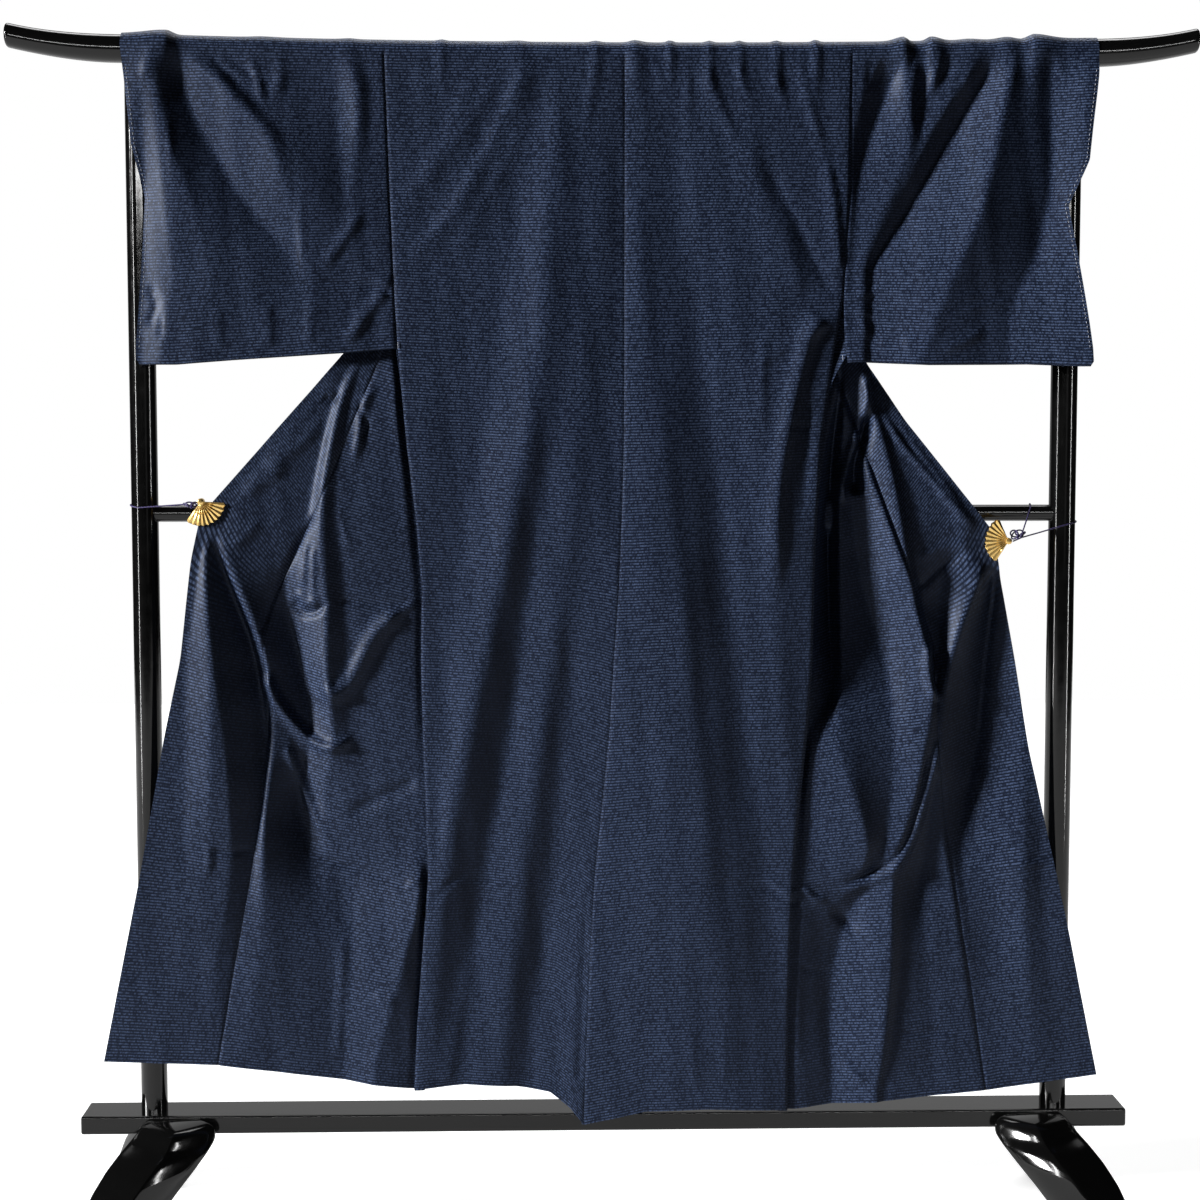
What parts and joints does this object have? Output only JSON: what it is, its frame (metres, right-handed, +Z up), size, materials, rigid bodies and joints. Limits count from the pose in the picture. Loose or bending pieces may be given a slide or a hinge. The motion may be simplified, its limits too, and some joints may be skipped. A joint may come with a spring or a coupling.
{
  "type": "kimono on display stand",
  "caption": "Dark kimono spread back outwards over the rod of a lacquered stand, its fronts drawn out to the sides by clips on thin cords.",
  "frame": {"origin": "centre of the stand's footprint, on the floor", "axes": "+Z up; the garment's back, which is the pictured side, faces -Y; +X to the right in that view"},
  "size_m": [1.6354, 0.3922, 1.6743],
  "materials": {
    "cloth": "semi-sheen indigo silk with a minute pale dash pattern",
    "lacquer": "glossy black lacquer on wood",
    "gilt": "polished gilt",
    "cord": "twisted violet cord"
  },
  "bodies": {
    "root": {"back_left": "cloth", "back_right": "cloth", "front_left": "cloth", "front_right": "cloth", "okumi_left": "cloth", "okumi_right": "cloth", "sleeve_left": "cloth", "sleeve_right": "cloth", "collar": "cloth", "rod": "lacquer", "crossbar": "lacquer", "base_rail": "lacquer", "post_left": "lacquer", "post_right": "lacquer", "foot_front_left": "lacquer", "foot_front_right": "lacquer", "foot_back_left": "lacquer", "foot_back_right": "lacquer", "clip_left": "gilt", "clip_right": "gilt", "cord_left": "cord", "cord_right": "cord", "cord_right_bar": "cord"}
  },
  "joints": []
}
